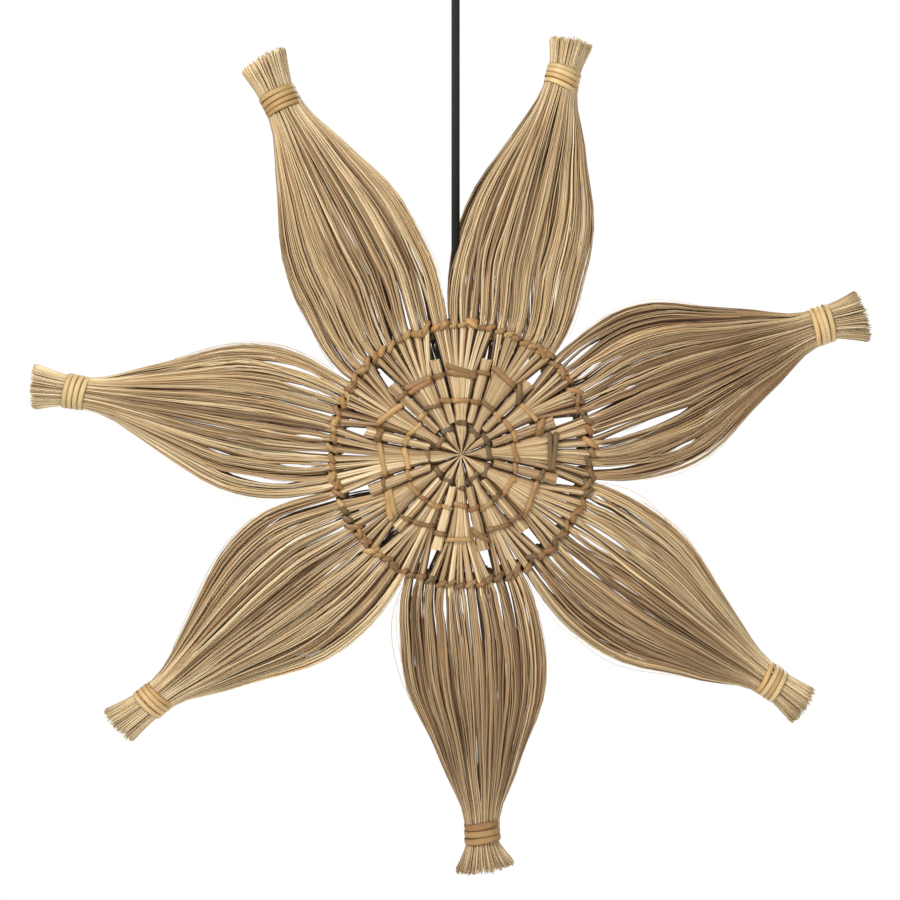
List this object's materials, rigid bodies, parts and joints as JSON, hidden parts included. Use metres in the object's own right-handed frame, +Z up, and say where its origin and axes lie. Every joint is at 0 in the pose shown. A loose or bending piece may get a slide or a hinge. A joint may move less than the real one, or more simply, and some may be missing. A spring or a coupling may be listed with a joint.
{
  "type": "straw star pendant ornament",
  "caption": "Hollow star of two woven straw faces whose petals are tied together at the tips, with a lamp holder inside, hung on a black cord from a small ceiling fitting.",
  "frame": {"origin": "centre of the ceiling fitting's flat top face, which bears on the ceiling", "axes": "+Z up along the cord to the ceiling, -Y towards the viewer of the star's front face, +X to that viewer's right; the star lies in the XZ plane"},
  "size_m": [0.6013, 0.0984, 0.6592],
  "materials": {
    "straw": "dry straw fibres, matt with a slight sheen along the fibre",
    "cut_straw": "dry straw fibres, cut square at both ends",
    "cane": "dark brown cane, satin",
    "tie_strip": "split cane strip, pale to reddish brown, satin",
    "black_plastic": "matt moulded",
    "black_metal": "matt black paint",
    "black_cloth": "cloth covered cord, fine braid"
  },
  "bodies": {
    "root": {"front_spokes": "straw", "back_spokes": "straw", "front_petal_1": "straw", "front_petal_2": "straw", "front_petal_3": "straw", "front_petal_4": "straw", "front_petal_5": "straw", "front_petal_6": "straw", "front_petal_7": "straw", "back_petal_1": "straw", "back_petal_2": "straw", "back_petal_3": "straw", "back_petal_4": "straw", "back_petal_5": "straw", "back_petal_6": "straw", "back_petal_7": "straw", "front_spacer_1": "cut_straw", "front_spacer_2": "cut_straw", "front_spacer_3": "cut_straw", "front_spacer_4": "cut_straw", "front_spacer_5": "cut_straw", "front_spacer_6": "cut_straw", "front_spacer_7": "cut_straw", "front_spacer_8": "cut_straw", "front_spacer_9": "cut_straw", "front_spacer_10": "cut_straw", "front_spacer_11": "cut_straw", "front_spacer_12": "cut_straw", "back_spacer_1": "cut_straw", "back_spacer_2": "cut_straw", "back_spacer_3": "cut_straw", "back_spacer_4": "cut_straw", "back_spacer_5": "cut_straw", "back_spacer_6": "cut_straw", "back_spacer_7": "cut_straw", "back_spacer_8": "cut_straw", "back_spacer_9": "cut_straw", "back_spacer_10": "cut_straw", "back_spacer_11": "cut_straw", "back_spacer_12": "cut_straw", "front_hoop": "cane", "back_hoop": "cane", "front_inner_hoop_1": "cane", "front_inner_hoop_2": "cane", "back_inner_hoop_1": "cane", "back_inner_hoop_2": "cane", "tip_tie_1": "tie_strip", "tip_tie_2": "tie_strip", "tip_tie_3": "tie_strip", "tip_tie_4": "tie_strip", "tip_tie_5": "tie_strip", "tip_tie_6": "tie_strip", "tip_tie_7": "tie_strip", "lamp_holder": "black_plastic", "holder_bracket": "black_metal", "cord": "black_cloth", "ceiling_fitting": "black_plastic"}
  },
  "joints": []
}
